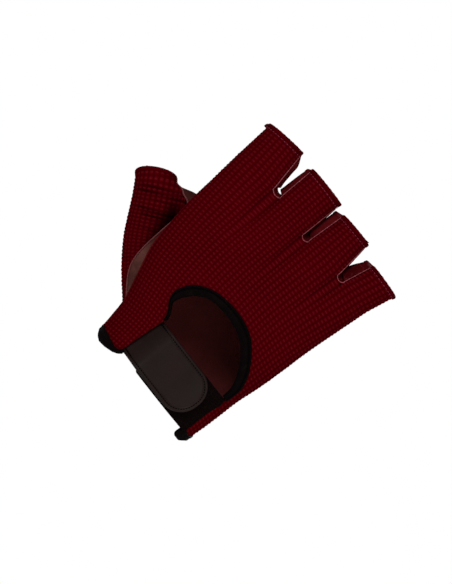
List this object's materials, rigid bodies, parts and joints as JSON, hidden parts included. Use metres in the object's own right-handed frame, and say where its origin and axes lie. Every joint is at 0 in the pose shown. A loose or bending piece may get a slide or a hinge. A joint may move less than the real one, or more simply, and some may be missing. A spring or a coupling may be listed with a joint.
{
  "type": "fingerless fitness glove",
  "caption": "Right-hand fingerless training glove with a waffle-knit back, leather palm, open back of the wrist and a hook-and-loop wrist strap, held open in its worn form.",
  "frame": {"origin": "centre of the wrist opening, level with the hem, where the hand goes in", "axes": "+Z along the hand towards the fingers, +Y out of the palm, -Y out of the back of the hand, -X the thumb side"},
  "size_m": [0.1376, 0.0565, 0.1451],
  "materials": {
    "knit": "waffle knit, matt",
    "leather": "smooth dyed leather, satin",
    "tape": "folded binding tape, matt",
    "strap": "coated strap, satin",
    "hook": "hook tape, matt",
    "loop": "brushed loop tape, matt"
  },
  "bodies": {
    "root": {"back_panel": "knit", "thumb_back": "knit", "palm_panel": "leather", "thumb_front": "leather", "fourchette_index_middle": "leather", "fourchette_middle_ring": "leather", "fourchette_ring_little": "leather", "opening_binding": "tape", "wrist_binding": "tape", "strap": "strap", "hook_patch": "hook", "loop_patch": "loop"}
  },
  "joints": []
}
